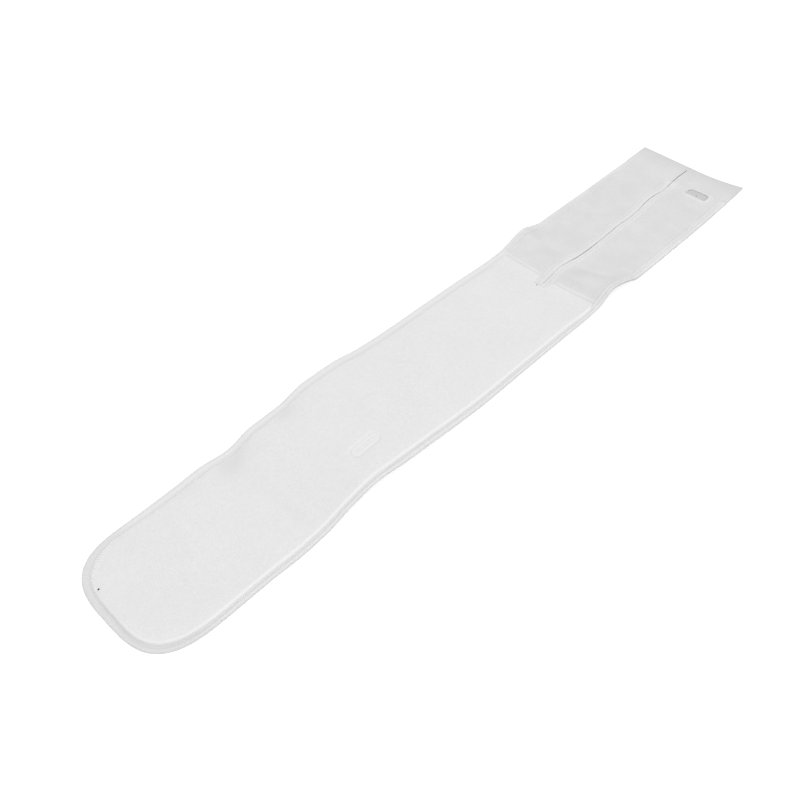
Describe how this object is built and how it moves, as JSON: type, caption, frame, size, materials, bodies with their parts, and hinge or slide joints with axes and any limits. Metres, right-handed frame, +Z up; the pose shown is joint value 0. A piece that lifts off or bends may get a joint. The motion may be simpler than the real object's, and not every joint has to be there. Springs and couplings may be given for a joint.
{
  "type": "rib brace",
  "caption": "Rib brace: a long padded wrap belt lying in slight folds, with a rounded tip, an overcast edge, an oval eyelet and a slit pocket end.",
  "frame": {"origin": "under the middle of the belt, on the surface it lies on", "axes": "+X from the rounded tip to the square end, +Y to the far edge on the placket's side, +Z up"},
  "size_m": [0.9526, 0.151, 0.0243],
  "materials": {
    "napped_pad": "soft napped cloth with fine flecks, matt",
    "overcast_edge": "dense overcast thread across a soft roll, matt",
    "pocket_cloth": "smooth close-knit cloth, slight sheen",
    "trim_cloth": "folded smooth cloth with rows of stitches",
    "band_cloth": "smooth hemmed cloth, slight sheen",
    "thread": "close rows of white thread",
    "slot_patch": "plain grey lavender cloth, blank"
  },
  "bodies": {
    "root": {"pad": "napped_pad", "edge_roll": "overcast_edge", "oval_eyelet": "napped_pad", "pocket_back": "pocket_cloth", "pocket_panel_far": "pocket_cloth", "pocket_panel_near": "pocket_cloth", "pocket_hem_far": "trim_cloth", "pocket_hem_near": "trim_cloth", "slit_placket": "trim_cloth", "slit_facing": "trim_cloth", "seam_ridge_far": "trim_cloth", "seam_ridge_near": "trim_cloth", "end_band": "band_cloth", "bar_tack": "thread", "slot_rim": "thread", "slot_patch": "slot_patch"}
  },
  "joints": []
}
